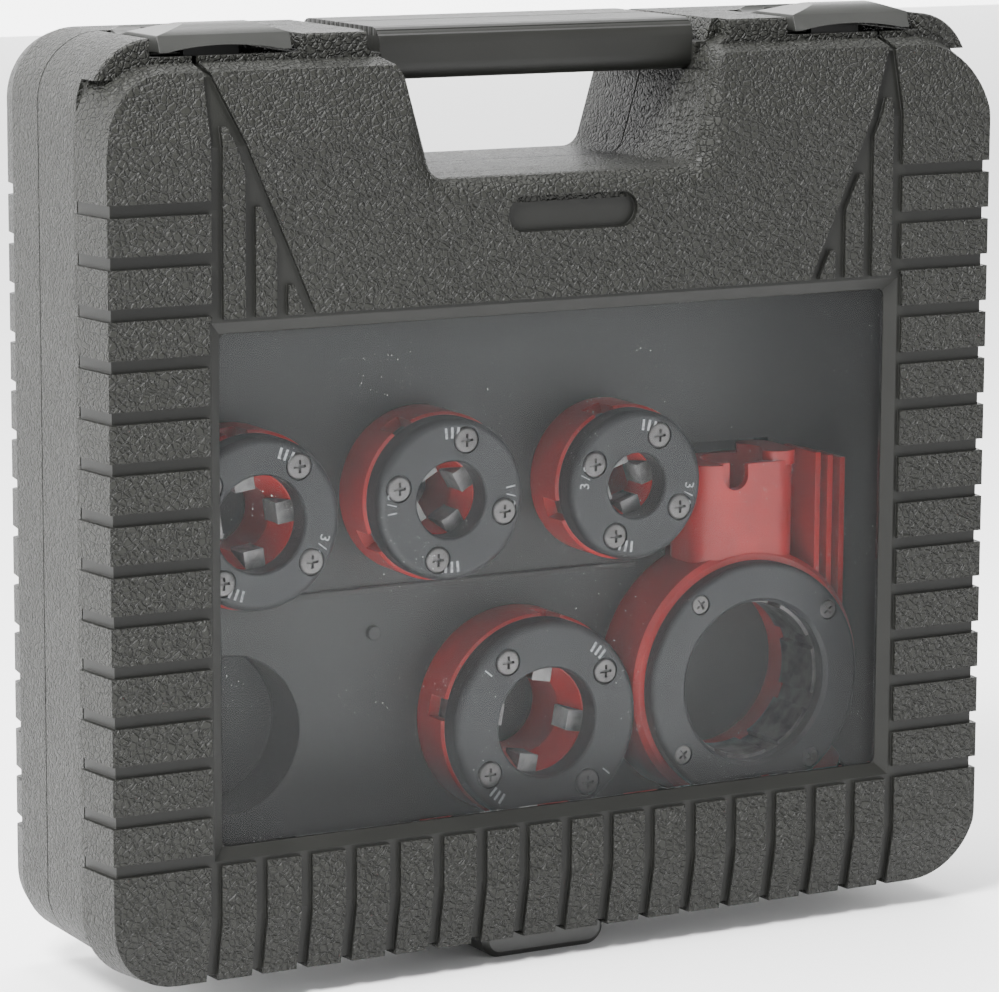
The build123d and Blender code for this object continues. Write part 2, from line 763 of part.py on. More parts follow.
with BuildPart() as ratchet_housing:
    with BuildSketch(facing(ratchet_cover_back)):
        with Locations((ratchet_x, ratchet_z)):
            Circle(ratchet_r)
    extrude(amount=-(ratchet_back - ratchet_cover_back))
    chamfer(ratchet_housing.edges().filter_by(GeomType.CIRCLE), 2.0)
    with BuildSketch(Plane.XY.offset(ratchet_z)) as neck:
        with Locations((neck_x, (neck_front + neck_back) / 2)):
            RectangleRounded(2 * neck_half, neck_back - neck_front, 11)
    extrude(amount=neck_top - ratchet_z)
    with BuildSketch(Plane.XY.offset(neck_top - 2)):
        with Locations((neck_x + neck_half - 8.0, (neck_front + neck_back) / 2)):
            RectangleRounded(16, neck_back - neck_front - 1, 7)
    extrude(amount=6)
    with BuildSketch(on_pawl_line(30)):
        Circle(10)
    extrude(amount=36)
    add(slab(ratchet_x + 20, ratchet_x + 52.5, 9, 13.5, ratchet_z, neck_top - 2))
    for k in range(3):
        fin_x = ratchet_x + 35.5 + 7.6 * k
        add(slab(fin_x - 1.3, fin_x + 1.3, -12 + 2 * k, 13.5, ratchet_z, neck_top + 2 - 2 * k))
    with BuildSketch(facing(ratchet_cover_back)):
        with Locations((ratchet_x, ratchet_z)):
            Circle(wheel_seat_r)
    extrude(amount=-26, mode=Mode.SUBTRACT)
    with BuildSketch(facing(ratchet_cover_back - 10)):
        with Locations((ratchet_x, ratchet_z)):
            Circle(ratchet_bore_r + 1)
    extrude(amount=-70, mode=Mode.SUBTRACT)
    with BuildSketch(Plane.XY.offset(neck_top + 10)):
        with Locations((neck_x, (neck_front + neck_back) / 2)):
            Circle(socket_r)
    extrude(amount=-42, mode=Mode.SUBTRACT)
    with BuildSketch(facing(-30)):
        with Locations((neck_x - 8, neck_top + 1)):
            SlotOverall(24, 12, rotation=90)
    extrude(amount=-22, mode=Mode.SUBTRACT)
    with BuildSketch(on_pawl_line(34)):
        Circle(pawl_r + running)
    extrude(amount=40, mode=Mode.SUBTRACT)
    with BuildSketch(on_pawl_line(52)):
        Circle(7.6)
    extrude(amount=11, mode=Mode.SUBTRACT)
    with BuildSketch(facing(ratchet_cover_back)):
        with Locations((ratchet_x, ratchet_z)):
            with PolarLocations(46.0, 4, start_angle=38):
                Circle(1.9)
    extrude(amount=-12, mode=Mode.SUBTRACT)
write(ratchet_housing, "ratchet_housing")

with BuildPart() as ratchet_cover:
    with BuildSketch(facing(ratchet_front)):
        with Locations((ratchet_x, ratchet_z)):
            Circle(ratchet_cover_r)
    extrude(amount=ratchet_front - ratchet_cover_back)
    fillet(ratchet_cover.faces().sort_by(Axis.Y)[0].edges(), 2.5)
    with BuildSketch(facing(ratchet_front)):
        with Locations((ratchet_x, ratchet_z)):
            Circle(ratchet_bore_r)
            with PolarLocations(46.0, 4, start_angle=38):
                Circle(2.3)
    extrude(amount=-10, mode=Mode.SUBTRACT)
    with BuildSketch(facing(ratchet_front)):
        with Locations((ratchet_x, ratchet_z)):
            with PolarLocations(46.0, 4, start_angle=38):
                Circle(4.4)
    extrude(amount=-2.4, mode=Mode.SUBTRACT)
    bore_rim = ratchet_cover.faces().sort_by(Axis.Y)[0].edges().filter_by(GeomType.CIRCLE)
    chamfer(bore_rim.filter_by(lambda e: abs(e.radius - ratchet_bore_r) < 0.1), 1.6)
write(ratchet_cover, "ratchet_cover")

with BuildPart() as ratchet_screws:
    with BuildSketch(facing(ratchet_front + 2.4)):
        with Locations((ratchet_x, ratchet_z)):
            with PolarLocations(46.0, 4, start_angle=38):
                Circle(4.1)
    extrude(amount=2.1)
    fillet(ratchet_screws.faces().group_by(Axis.Y)[0].edges(), 0.8)
    with BuildSketch(facing(ratchet_front + 2.4)):
        with Locations((ratchet_x, ratchet_z)):
            with PolarLocations(46.0, 4, start_angle=38):
                Circle(1.8)
    extrude(amount=-13)
    with BuildSketch(facing(ratchet_front - 1)):
        with Locations((ratchet_x, ratchet_z)):
            with PolarLocations(46.0, 4, start_angle=38):
                Rectangle(4.6, 1.0)
                Rectangle(1.0, 4.6)
    extrude(amount=-2.6, mode=Mode.SUBTRACT)
write(ratchet_screws, "ratchet_screws")

tooth_step = 360 / wheel_teeth
with BuildPart() as ratchet_wheel:
    with BuildSketch(facing(ratchet_cover_back + 0.3)):
        with Locations((ratchet_x, ratchet_z)):
            Circle(wheel_r)
            with PolarLocations(wheel_r + 0.6, wheel_teeth, start_angle=pawl_angle):
                Rectangle(5.0, 5.0, rotation=45, mode=Mode.SUBTRACT)
            Circle(ratchet_bore_r - 1.5, mode=Mode.SUBTRACT)
            with PolarLocations(ratchet_bore_r - 1.5, 8, start_angle=22.5):
                Rectangle(4.4, 7.0, mode=Mode.SUBTRACT)
    extrude(amount=-25.2)
write(ratchet_wheel, "ratchet_wheel")

with BuildPart() as ratchet_pawl:
    with BuildSketch(on_pawl_line(38.6)):
        Circle(pawl_r)
    extrude(amount=34)
    with BuildSketch(Plane(on_pawl_line(38.6).origin, x_dir=pawl_dir, z_dir=(0, -1, 0))):
        for s in (-1, 1):
            with BuildLine():
                Polyline((-1, 0), (-1, s * 6), (6.5, s * 6), close=True)
            make_face()
    extrude(amount=8, both=True, mode=Mode.SUBTRACT)
    with BuildSketch(on_pawl_line(52.3)):
        Circle(7.2)
    extrude(amount=1.6)
write(ratchet_pawl, "ratchet_pawl")

with BuildPart() as pawl_spring:
    with BuildSketch(on_pawl_line(54.2)):
        Circle(7.0)
        Circle(5.5, mode=Mode.SUBTRACT)
    extrude(amount=8.6)
write(pawl_spring, "pawl_spring")

with BuildPart() as pawl_knob:
    with BuildSketch(on_pawl_line(68.0)):
        Circle(9.0)
        with PolarLocations(9.6, 12):
            Circle(1.4, mode=Mode.SUBTRACT)
    extrude(amount=13)
    with BuildSketch(on_pawl_line(68.0)):
        Circle(pawl_r)
    extrude(amount=4.6, mode=Mode.SUBTRACT)
write(pawl_knob, "pawl_knob")

# ---------------------------------------------------------------- stowed handle
with BuildPart() as handle_tube:
    with BuildSketch(Plane.YZ.offset(-bar_half)):
        with Locations((bar_y, bar_z)):
            Circle(bar_r)
            Circle(bar_r - 2.6, mode=Mode.SUBTRACT)
    extrude(amount=2 * bar_half - 4)
    chamfer(handle_tube.edges().filter_by(GeomType.CIRCLE), 0.5)
write(handle_tube, "handle_tube")

with BuildPart() as handle_grip:
    with BuildSketch(Plane.YZ.offset(bar_half - grip_length)):
        with Locations((bar_y, bar_z)):
            Circle(grip_r)
    extrude(amount=grip_length)
    fillet(handle_grip.edges().filter_by(GeomType.CIRCLE), 2.0)
    with BuildSketch(Plane.YZ.offset(bar_half - grip_length - 1)):
        with Locations((bar_y, bar_z)):
            Circle(bar_r)
    extrude(amount=grip_length - 3, mode=Mode.SUBTRACT)
write(handle_grip, "handle_grip")
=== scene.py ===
"""Looks of a ribbed carrying case with a window in its lid and a pipe threading set behind it.

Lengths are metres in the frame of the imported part: X to the right, Y from the lid to the back, Z up.
"""

from __future__ import annotations

import json
import logging
import math
from dataclasses import dataclass
from enum import Enum
from typing import Any, Dict, List, Optional, Sequence, Tuple, Union

import bmesh
import bpy
from mathutils import Matrix, Vector

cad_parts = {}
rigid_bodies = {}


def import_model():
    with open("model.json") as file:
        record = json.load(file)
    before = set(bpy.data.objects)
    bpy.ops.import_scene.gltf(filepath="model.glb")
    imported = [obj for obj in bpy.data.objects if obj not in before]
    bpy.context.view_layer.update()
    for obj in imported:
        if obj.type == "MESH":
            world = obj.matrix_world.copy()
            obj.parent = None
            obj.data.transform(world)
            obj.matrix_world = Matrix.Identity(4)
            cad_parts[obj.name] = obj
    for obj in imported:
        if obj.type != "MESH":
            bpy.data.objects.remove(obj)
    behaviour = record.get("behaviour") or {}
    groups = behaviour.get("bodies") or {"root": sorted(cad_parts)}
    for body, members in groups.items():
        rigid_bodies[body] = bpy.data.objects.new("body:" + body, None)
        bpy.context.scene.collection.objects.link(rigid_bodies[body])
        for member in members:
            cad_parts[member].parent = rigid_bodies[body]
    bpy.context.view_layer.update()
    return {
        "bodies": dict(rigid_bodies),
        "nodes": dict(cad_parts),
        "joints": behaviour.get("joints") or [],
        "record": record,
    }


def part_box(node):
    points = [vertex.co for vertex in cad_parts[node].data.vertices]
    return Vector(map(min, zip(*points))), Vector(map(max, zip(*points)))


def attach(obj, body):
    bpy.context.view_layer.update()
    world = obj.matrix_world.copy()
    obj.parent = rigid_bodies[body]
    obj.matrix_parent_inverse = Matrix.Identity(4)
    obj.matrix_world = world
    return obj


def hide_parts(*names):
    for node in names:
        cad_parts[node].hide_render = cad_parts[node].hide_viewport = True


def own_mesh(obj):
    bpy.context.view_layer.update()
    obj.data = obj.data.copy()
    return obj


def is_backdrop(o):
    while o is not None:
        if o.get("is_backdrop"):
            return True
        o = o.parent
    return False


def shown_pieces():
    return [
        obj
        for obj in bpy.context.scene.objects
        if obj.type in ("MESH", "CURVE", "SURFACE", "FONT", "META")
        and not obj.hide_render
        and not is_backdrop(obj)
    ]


LOG = logging.getLogger("case")
MM = 0.001
Triple = Tuple[float, float, float]


# ------------------------------------------------------------------ shader maths
class Wire:
    """An output socket that can be used in arithmetic, where each operator adds a Math node."""

    def __init__(self, book: "NodeBook", socket: Optional[bpy.types.NodeSocket]) -> None:
        """Keeps the socket and the book of nodes that it belongs to.

        Args:
            book: The node book that new nodes are added to.
            socket: The output socket, or None for a node without outputs.
        """
        self.book = book
        self.socket = socket

    def __add__(self, other: "Operand") -> "Wire":
        """Sum."""
        return self.book.math("ADD", self, other)

    def __radd__(self, other: "Operand") -> "Wire":
        """Sum with the number first."""
        return self.book.math("ADD", other, self)

    def __sub__(self, other: "Operand") -> "Wire":
        """Difference."""
        return self.book.math("SUBTRACT", self, other)

    def __rsub__(self, other: "Operand") -> "Wire":
        """Difference with the number first."""
        return self.book.math("SUBTRACT", other, self)

    def __mul__(self, other: "Operand") -> "Wire":
        """Product."""
        return self.book.math("MULTIPLY", self, other)

    def __rmul__(self, other: "Operand") -> "Wire":
        """Product with the number first."""
        return self.book.math("MULTIPLY", other, self)

    def __truediv__(self, other: "Operand") -> "Wire":
        """Quotient."""
        return self.book.math("DIVIDE", self, other)

    def __rtruediv__(self, other: "Operand") -> "Wire":
        """Quotient with the number first."""
        return self.book.math("DIVIDE", other, self)

    def __pow__(self, other: "Operand") -> "Wire":
        """Power."""
        return self.book.math("POWER", self, other)

    def __neg__(self) -> "Wire":
        """Opposite value."""
        return self.book.math("MULTIPLY", self, -1.0)

    def __abs__(self) -> "Wire":
        """Size without sign."""
        return self.book.math("ABSOLUTE", self, 0.0)

    def __lt__(self, other: "Operand") -> "Wire":
        """One where this is less than the other, and zero elsewhere."""
        return self.book.math("LESS_THAN", self, other)

    def __gt__(self, other: "Operand") -> "Wire":
        """One where this is more than the other, and zero elsewhere."""
        return self.book.math("GREATER_THAN", self, other)

    def least(self, other: "Operand") -> "Wire":
        """Smaller of the two values."""
        return self.book.math("MINIMUM", self, other)

    def most(self, other: "Operand") -> "Wire":
        """Larger of the two values."""
        return self.book.math("MAXIMUM", self, other)

    def sine(self) -> "Wire":
        """Sine of the value in radians."""
        return self.book.math("SINE", self, 0.0)

    def ramp(self, low: float, high: float, start: float = 0.0, end: float = 1.0) -> "Wire":
        """Smooth step from start to end as the value goes from low to high.

        Args:
            low: The value where the step starts.
            high: The value where the step ends.
            start: The result below low.
            end: The result above high.

        Returns:
            The stepped value.
        """
        return self.book.node(
            "ShaderNodeMapRange",
            {"interpolation_type": "SMOOTHSTEP"},
            {"Value": self, "From Min": low, "From Max": high, "To Min": start, "To Max": end},
        )


Operand = Union[Wire, float]


class NodeBook:
    """Material under construction: one method makes every node, and expressions add the Math nodes."""

    def __init__(self, name: str) -> None:
        """Starts an empty material.

        Args:
            name: The material's name.
        """
        self.material = bpy.data.materials.new(name)
        self.material.use_nodes = True
        self.tree = self.material.node_tree
        self.tree.nodes.clear()
        self._place: Optional[Wire] = None

    def node(
        self,
        kind: str,
        settings: Optional[Dict[str, Any]] = None,
        sockets: Optional[Dict[Union[str, int], Any]] = None,
        output: Union[str, int] = 0,
    ) -> Wire:
        """Adds a node, sets its properties and then fills or links its sockets.

        Args:
            kind: The node's type, such as "ShaderNodeTexNoise".
            settings: The node's properties.
            sockets: Values or wires for the input sockets, by name or by number.
            output: The output socket that is handed back.

        Returns:
            The chosen output as a wire.
        """
        made = self.tree.nodes.new(kind)
        for key, value in (settings or {}).items():
            setattr(made, key, value)
        for key, value in (sockets or {}).items():
            if isinstance(value, Wire):
                self.tree.links.new(value.socket, made.inputs[key])
            else:
                made.inputs[key].default_value = value
        return Wire(self, made.outputs[output] if made.outputs else None)

    def math(self, operation: str, first: Operand, second: Operand) -> Wire:
        """Adds one Math node.

        Args:
            operation: The operation's name.
            first: The first value.
            second: The second value.

        Returns:
            The result.
        """
        return self.node("ShaderNodeMath", {"operation": operation}, {0: first, 1: second})

    def place(self) -> Wire:
        """Position on the piece in the frame of the part."""
        if self._place is None:
            self._place = self.node("ShaderNodeTexCoord", output="Object")
        return self._place

    def axes(self) -> Tuple[Wire, Wire, Wire]:
        """Position on the piece as three separate wires."""
        split = self.node("ShaderNodeSeparateXYZ", None, {0: self.place()})
        x, y, z = split.socket.node.outputs
        return Wire(self, x), Wire(self, y), Wire(self, z)

    def stretched(self, scale: Triple) -> Wire:
        """Position on the piece, multiplied along each axis.

        Args:
            scale: The three factors.

        Returns:
            The stretched position.
        """
        return self.node("ShaderNodeMapping", None, {"Vector": self.place(), "Scale": scale})

    def noise(
        self, scale: float, detail: float = 2.0, roughness: float = 0.5, at: Optional[Wire] = None
    ) -> Wire:
        """Soft noise from 0 to 1.

        Args:
            scale: Features per metre.
            detail: Octaves.
            roughness: How much the fine octaves count.
            at: The position to read it at, if not the plain one.

        Returns:
            The noise value.
        """
        sockets = {"Vector": at or self.place(), "Scale": scale, "Detail": detail, "Roughness": roughness}
        return self.node("ShaderNodeTexNoise", None, sockets)

    def cells(self, scale: float, feature: str = "F1", at: Optional[Wire] = None) -> Wire:
        """Distance pattern of scattered cells.

        Args:
            scale: Cells per metre.
            feature: The Voronoi feature.
            at: The position to read it at, if not the plain one.

        Returns:
            The distance value.
        """
        sockets = {"Vector": at or self.place(), "Scale": scale}
        return self.node("ShaderNodeTexVoronoi", {"feature": feature}, sockets, "Distance")

    def mix(self, factor: Operand, first: Any, second: Any) -> Wire:
        """Blend of two colours.

        Args:
            factor: The share of the second colour.
            first: A colour or a wire.
            second: A colour or a wire.

        Returns:
            The blended colour.
        """
        colours = [c if isinstance(c, Wire) else (*c, 1.0) for c in (first, second)]
        sockets = {0: factor, 6: colours[0], 7: colours[1]}
        return self.node("ShaderNodeMix", {"data_type": "RGBA"}, sockets, 2)

    def bump(self, height: Wire, distance: float, strength: float = 1.0, rounding: float = 0.0) -> Wire:
        """Normal of a surface with a small relief and softened edges.

        Args:
            height: The relief from 0 to 1.
            distance: The depth of the relief in metres.
            strength: How strongly it shows.
            rounding: The radius that sharp edges are softened by.

        Returns:
            The normal.
        """
        sockets: Dict[Union[str, int], Any] = {"Height": height, "Distance": distance, "Strength": strength}
        if rounding > 0:
            sockets["Normal"] = self.node("ShaderNodeBevel", {"samples": 4}, {"Radius": rounding})
        return self.node("ShaderNodeBump", None, sockets)

    def finish(self, surface: Wire) -> bpy.types.Material:
        """Links a shader to the material's output.

        Args:
            surface: The shader.

        Returns:
            The finished material.
        """
        self.node("ShaderNodeOutputMaterial", None, {"Surface": surface})
        return self.material

    def principled(self, **sockets: Any) -> Wire:
        """Principled shader with the given sockets, where underscores stand for spaces.

        Args:
            **sockets: Values or wires by socket name.

        Returns:
            The shader.
        """
        filled = {}
        for name, value in sockets.items():
            if isinstance(value, tuple) and len(value) == 3:
                value = (*value, 1.0)
            filled[name.replace("_", " ")] = value
        return self.node("ShaderNodeBsdfPrincipled", None, filled)


# ------------------------------------------------------------------ finishes
@dataclass(frozen=True)
class GrainedPlastic:
    """Blow-moulded plastic with a crackled leather grain on its raised faces and smooth grooves, with painted
    shade in the grooves and the grain's crevices.
    """

    raised: Triple = (0.0095, 0.0098, 0.0078)
    # Darker colour of the ungrained faces: painted shade in the grooves and recesses, also used on the smooth
    # handle bar.
    smooth_face_shade: Triple = (0.005, 0.0052, 0.0043)
    grain_scale: float = 360.0
    grain_depth: float = 1.0 * MM
    front: float = -52.0 * MM
    bumper_back: float = -27.0 * MM
    front_half: float = 204.5 * MM
    bumper_half: float = 207.5 * MM
    low_front: float = 12.5 * MM
    low_back: float = 11.5 * MM
    high_front: float = 372.5 * MM
    high_back: float = 380.0 * MM
    corner: float = 30.0 * MM
    mirrored: bool = False
    top_slope_at: Tuple[float, float] = (-45.3 * MM, 373.0 * MM)
    top_slope_tilt: Tuple[float, float] = (0.966, 0.26)
    low_slope_at: Tuple[float, float] = (-47.0 * MM, 12.5 * MM)
    low_slope_tilt: Tuple[float, float] = (0.98, 0.2)
    handle_half: float = 73.5 * MM
    handle_low: float = 366.0 * MM
    handle_middle: float = 11.0 * MM
    handle_reach: float = 35.3 * MM
    grip_lines_low: float = 384.5 * MM
    grip_line_pitch: float = 4.2 * MM
    shoulder_half: float = 92.0 * MM
    shoulder_low: float = 318.0 * MM
    band_front: float = -26.8 * MM
    # Near-black colour painted into the grain's crevices as shade.
    crevice_shade: Triple = (0.002, 0.002, 0.002)
    patch: Triple = (0.014, 0.0144, 0.012)

    def _depth(self, book: NodeBook) -> Wire:
        """Depth of a point under the case's outer envelope.

        Args:
            book: The material under construction.

        Returns:
            The depth in metres.
        """
        x, y, z = book.axes()
        if self.mirrored:
            y = -y
        along = (y - self.front) / (self.bumper_back - self.front)
        along = along.most(0.0).least(1.0)
        half = along * (self.bumper_half - self.front_half) + self.front_half
        low = along * (self.low_back - self.low_front) + self.low_front
        high = along * (self.high_back - self.high_front) + self.high_front
        middle = (low + high) * 0.5
        reach_x = (abs(x) - (half - self.corner)).most(0.0)
        reach_z = (abs(z - middle) - ((high - low) * 0.5 - self.corner)).most(0.0)
        edge = self.corner - (reach_x * reach_x + reach_z * reach_z) ** 0.5
        if self.mirrored:
            return edge.least(y - self.front)
        top_y, top_z = self.top_slope_at
        low_y, low_z = self.low_slope_at
        slope_top = (top_z - z) * self.top_slope_tilt[1] + (y - top_y) * self.top_slope_tilt[0]
        slope_low = (z - low_z) * self.low_slope_tilt[1] + (y - low_y) * self.low_slope_tilt[0]
        return edge.least(y - self.front).least(slope_top).least(slope_low)

    def _smooth_parts(self, book: NodeBook) -> Wire:
        """Handle bar, which carries no grain.

        Args:
            book: The material under construction.

        Returns:
            One on the handle bar and zero elsewhere.
        """
        x, y, z = book.axes()
        beside = abs(y - self.handle_middle) < self.handle_reach
        return (abs(x) < self.handle_half) * (z > self.handle_low) * beside

    def material(self, name: str) -> bpy.types.Material:
        """Builds the material.

        Args:
            name: The material's name.

        Returns:
            The material.
        """
        book = NodeBook(name)
        x, y, z = book.axes()
        depth = self._depth(book)
        raised = depth.ramp(0.0008, 0.0013, 1.0, 0.0)
        face = -y if self.mirrored else y
        band = face > self.band_front
        shoulder = (abs(x) < self.shoulder_half) * (z > self.shoulder_low)
        smooth = self._smooth_parts(book)
        grained = raised.most(band).most(shoulder) * (1.0 - smooth)
        warp = book.noise(140.0, 2.0)
        moved = book.node(
            "ShaderNodeVectorMath",
            {"operation": "MULTIPLY_ADD"},
            {0: book.node("ShaderNodeTexNoise", None, {"Vector": book.place(), "Scale": 210.0}, "Color"),
             1: (0.003, 0.003, 0.003), 2: book.place()},
        )
        worms = abs(book.noise(self.grain_scale * 0.8, 1.0, 0.4, moved) - 0.5)
        creases = book.cells(self.grain_scale, "DISTANCE_TO_EDGE", moved)
        grain = creases.ramp(0.01, 0.16) * 0.7 + worms.ramp(0.0, 0.07) * 0.3
        fine = book.noise(2600.0, 2.0)
        lines = (y * (2 * math.pi / self.grip_line_pitch)).sine() * 0.5 + 0.5
        grip_lines = lines.ramp(0.1, 0.6) * smooth * (z > self.grip_lines_low)
        height = grained * grain + (1.0 - grained) * fine * 0.06 + grip_lines * 0.6
        patch = book.noise(14.0, 3.0)
        worn = book.noise(55.0, 4.0, 0.6)
        # Ungrained grooves and recesses take the darker colour as painted shade; the smooth handle bar takes
        # it too.
        tone = book.mix(grained, self.smooth_face_shade, self.raised)
        # Painted shade: the grain's crevices are darkened towards the near-black colour.
        tone = book.mix(grained * grain.ramp(0.15, 0.8, 0.55, 0.0), tone, self.crevice_shade)
        tone = book.mix(patch.ramp(0.35, 0.75, 0.0, 0.3), tone, self.patch)
        rough = 0.44 + worn * 0.10 + grained * 0.04 + warp * 0.02
        return book.finish(
            book.principled(
                Base_Color=tone,
                Roughness=rough,
                Specular_IOR_Level=0.26,
                Normal=book.bump(height, self.grain_depth, 1.0, 0.6 * MM),
            )
        )


@dataclass(frozen=True)
class MouldedPlastic:
    """Smooth satin plastic with a faint flow pattern and dust."""

    colour: Triple = (0.014, 0.0145, 0.013)
    light: Triple = (0.034, 0.0345, 0.032)
    roughness: float = 0.34
    relief: float = 0.05 * MM
    dust: float = 0.25
    rounding: float = 0.5 * MM

    def material(self, name: str) -> bpy.types.Material:
        """Builds the material.

        Args:
            name: The material's name.

        Returns:
            The material.
        """
        book = NodeBook(name)
        flow = book.noise(30.0, 4.0, 0.6, book.stretched((0.35, 1.0, 1.0)))
        fine = book.noise(1900.0, 3.0)
        scuffs = book.noise(260.0, 5.0, 0.7, book.stretched((0.15, 1.0, 1.0))).ramp(0.58, 0.72)
        tone = book.mix(flow.ramp(0.3, 0.8) * self.dust, self.colour, self.light)
        tone = book.mix(scuffs * 0.25, tone, self.light)
        rough = self.roughness + flow * 0.14 + scuffs * 0.12
        return book.finish(
            book.principled(
                Base_Color=tone,
                Roughness=rough,
                Normal=book.bump(fine + scuffs * 0.5, self.relief, 0.6, self.rounding),
            )
        )


@dataclass(frozen=True)
class SmokyPane:
    """Clear sheet with a smoky tint, dust specks, smears and a glossy face."""

    tint: Triple = (0.92, 0.93, 0.93)
    haze: Triple = (0.30, 0.31, 0.32)
    haze_share: float = 0.012

    def material(self, name: str) -> bpy.types.Material:
        """Builds the material.

        Args:
            name: The material's name.

        Returns:
            The material.
        """
        book = NodeBook(name)
        clouds = book.noise(9.0, 5.0, 0.65)
        crowd = book.noise(22.0, 3.0, 0.6).ramp(0.35, 0.72, 0.25, 1.0)
        speck = book.cells(620.0).ramp(0.05, 0.16, 1.0, 0.0)
        grit = book.cells(240.0).ramp(0.03, 0.09, 1.0, 0.0)
        keep = book.noise(330.0, 1.0).ramp(0.45, 0.6)
        dust = (speck * keep).most(grit) * crowd
        share = (dust * 0.6 + clouds.ramp(0.3, 0.75) * 0.01 + self.haze_share).least(0.9)
        clear = book.node("ShaderNodeBsdfTransparent", None, {"Color": (*self.tint, 1.0)})
        film = book.principled(Base_Color=book.mix(dust, self.haze, (0.85, 0.85, 0.83)), Roughness=0.6)
        body = book.node("ShaderNodeMixShader", None, {0: share, 1: clear, 2: film})
        gloss = book.node(
            "ShaderNodeBsdfAnisotropic", None, {"Color": (1.0, 1.0, 1.0, 1.0), "Roughness": 0.03}
        )
        edge = book.node("ShaderNodeFresnel", None, {"IOR": 1.14})
        return book.finish(book.node("ShaderNodeMixShader", None, {0: edge, 1: body, 2: gloss}))


@dataclass(frozen=True)
class CastPaint:
    """Paint over a casting: orange peel, darker random blotches and scattered bare chips."""

    colour: Triple
    shade: Triple
    bare: Triple = (0.30, 0.28, 0.27)
    roughness: float = 0.34
    wear: float = 0.0
    relief: float = 0.12 * MM

    def material(self, name: str) -> bpy.types.Material:
        """Builds the material.

        Args:
            name: The material's name.

        Returns:
            The material.
        """
        book = NodeBook(name)
        peel = book.noise(850.0, 3.0, 0.55)
        lumps = book.noise(160.0, 3.0, 0.5)
        blotch = book.noise(38.0, 4.0, 0.6)
        chips = book.noise(420.0, 4.0, 0.7).ramp(0.68, 0.74)
        tone = book.mix(blotch.ramp(0.3, 0.75), self.shade, self.colour)
        tone = book.mix(chips * self.wear, tone, self.bare)
        return book.finish(
            book.principled(
                Base_Color=tone,
                Roughness=self.roughness + blotch * 0.16 + chips * 0.1,
                Metallic=chips * self.wear * 0.6,
                Normal=book.bump(peel * 0.6 + lumps * 0.6, self.relief, 0.7, 0.5 * MM),
            )
        )


@dataclass(frozen=True)
class WorkedSteel:
    """Ground or plated steel with fine scratches and an oil film."""

    colour: Triple = (0.46, 0.46, 0.47)
    dark: Triple = (0.16, 0.15, 0.14)
    roughness: float = 0.28
    scratch: Triple = (1.0, 0.12, 1.0)
    oil: float = 0.5

    def material(self, name: str) -> bpy.types.Material:
        """Builds the material.

        Args:
            name: The material's name.

        Returns:
            The material.
        """
        book = NodeBook(name)
        scratches = book.noise(1500.0, 4.0, 0.7, book.stretched(self.scratch))
        film = book.noise(120.0, 4.0, 0.6).ramp(0.35, 0.75)
        tone = book.mix(film * self.oil, self.colour, self.dark)
        return book.finish(
            book.principled(
                Base_Color=tone,
                Metallic=1.0,
                Roughness=self.roughness + scratches * 0.2 + film * 0.08,
                Normal=book.bump(scratches, 0.03 * MM, 0.7, 0.25 * MM),
            )
        )


@dataclass(frozen=True)
class PrintInk:
    """Thin pale print with worn patches."""

    colour: Triple = (0.42, 0.42, 0.43)
    worn: Triple = (0.20, 0.20, 0.21)

    def material(self, name: str) -> bpy.types.Material:
        """Builds the material.

        Args:
            name: The material's name.

        Returns:
            The material.
        """
        book = NodeBook(name)
        rub = book.noise(900.0, 3.0, 0.6)
        tone = book.mix(rub.ramp(0.4, 0.7), self.colour, self.worn)
        return book.finish(
            book.principled(Base_Color=tone, Roughness=0.5 + rub * 0.2, Normal=book.bump(rub, 0.02 * MM))
        )


@dataclass(frozen=True)
class StudioPaper:
    """Pale matt paper of the studio floor."""

    colour: Triple = (0.86, 0.86, 0.86)
    glow: float = 0.0

    def material(self, name: str) -> bpy.types.Material:
        """Builds the material.

        Args:
            name: The material's name.

        Returns:
            The material.
        """
        book = NodeBook(name)
        tooth = book.noise(300.0, 3.0)
        tone = book.mix(tooth * 0.1, self.colour, (0.82, 0.82, 0.81))
        return book.finish(
            book.principled(
                Base_Color=tone,
                Roughness=0.75,
                Emission_Color=tone,
                Emission_Strength=self.glow,
                Normal=book.bump(tooth, 0.05 * MM),
            )
        )


class Finish(Enum):
    """Named finishes of the set."""

    LID = "lid_plastic"
    BACK = "back_plastic"
    SMOOTH = "satin_plastic"
    TRAY = "tray_plastic"
    PANE = "smoky_pane"
    RED = "red_paint"
    BLACK = "black_paint"
    CHASER = "chaser_steel"
    SCREW = "dark_screw_steel"
    PLATED = "zinc_plated_steel"
    GRIP = "grip_rubber"
    INK = "pale_print"
    PAPER = "studio_paper"
    GLOW = "backdrop_paper"


